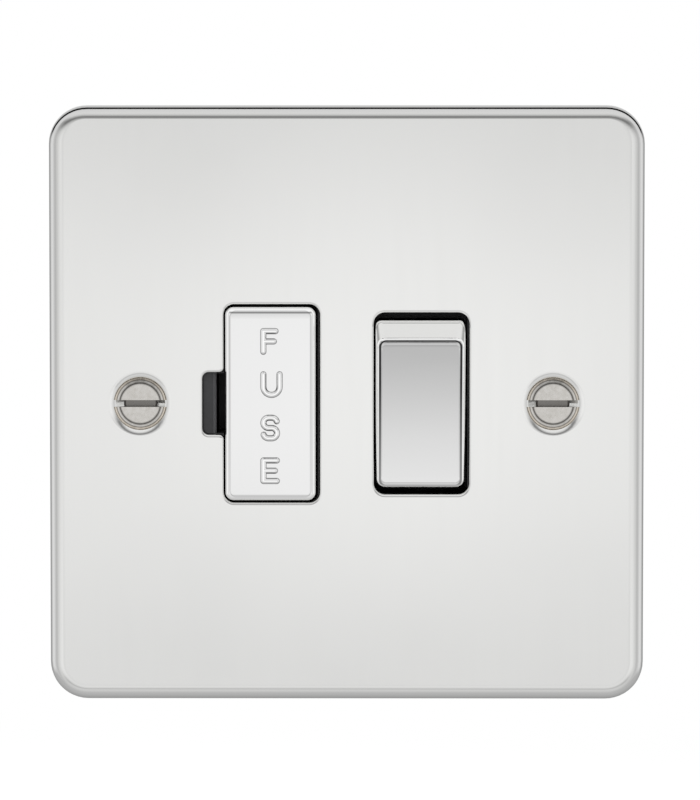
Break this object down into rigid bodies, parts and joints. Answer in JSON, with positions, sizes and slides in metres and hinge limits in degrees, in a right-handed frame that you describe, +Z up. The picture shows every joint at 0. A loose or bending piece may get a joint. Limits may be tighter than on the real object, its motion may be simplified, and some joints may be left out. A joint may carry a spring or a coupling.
{
  "type": "fused connection unit",
  "caption": "Square polished metal wall plate with a pull-out fuse carrier beside a rocker switch, slotted fixing screws, and a moulded body with wire terminals behind it.",
  "frame": {"origin": "centre of the plate on the wall plane, where the plate's rim meets the wall", "axes": "+X to the right as seen from the front, +Y into the wall, +Z up"},
  "size_m": [0.087, 0.0289, 0.087],
  "materials": {
    "plate_chrome": "polished",
    "nickel": "satin",
    "zinc": "satin",
    "spring_steel": "drawn",
    "brass": "machined",
    "copper": "rolled",
    "silver": "satin",
    "black_moulding": "moulded",
    "nylon": "moulded",
    "ceramic": "plain"
  },
  "bodies": {
    "unit": {"front_plate": "plate_chrome", "fixing_screws": "nickel", "assembly_screws": "zinc", "terminal_screws": "zinc", "plate_pillars": "brass", "line_supply_terminal": "brass", "neutral_supply_terminal": "brass", "earth_terminal": "brass", "line_load_terminal": "brass", "neutral_load_terminal": "brass", "line_fulcrum": "brass", "neutral_fulcrum": "brass", "fuse_load_strip": "brass", "upper_fuse_clip": "brass", "lower_fuse_clip": "brass", "line_supply_strip": "brass", "neutral_supply_strip": "brass", "earth_strap": "brass", "line_fixed_tip": "silver", "neutral_fixed_tip": "silver", "front_moulding": "black_moulding", "base_moulding": "black_moulding"},
    "rocker": {"rocker_cap": "plate_chrome", "rocker_yoke": "black_moulding", "plungers": "nylon", "plunger_springs": "spring_steel"},
    "line_lever": {"line_contact_lever": "copper", "line_moving_tip": "silver"},
    "neutral_lever": {"neutral_contact_lever": "copper", "neutral_moving_tip": "silver"},
    "fuse_drawer": {"fuse_carrier": "black_moulding", "fuse_cover": "plate_chrome", "fuse_tube": "ceramic", "fuse_ends": "nickel"}
  },
  "joints": [
    {"name": "rocker_pivot", "type": "hinge", "parent": "unit", "child": "rocker", "pos_m": [0.01078, 0.00158, 0], "axis": [1, 0, 0], "range_deg": [-20, 0]},
    {"name": "line_lever_pivot", "type": "hinge", "parent": "unit", "child": "line_lever", "pos_m": [0.00738, 0.01158, 0], "axis": [1, 0, 0], "range_deg": [0, 22]},
    {"name": "neutral_lever_pivot", "type": "hinge", "parent": "unit", "child": "neutral_lever", "pos_m": [0.01418, 0.01158, 0], "axis": [1, 0, 0], "range_deg": [0, 22]},
    {"name": "fuse_carrier_slide", "type": "slide", "parent": "unit", "child": "fuse_drawer", "axis": [0, -1, 0], "range_m": [0, 0.0135]}
  ],
  "couplings": [
    {"joint": "line_lever_pivot", "follows": "rocker_pivot", "ratio": -1.1},
    {"joint": "neutral_lever_pivot", "follows": "rocker_pivot", "ratio": -1.1}
  ]
}
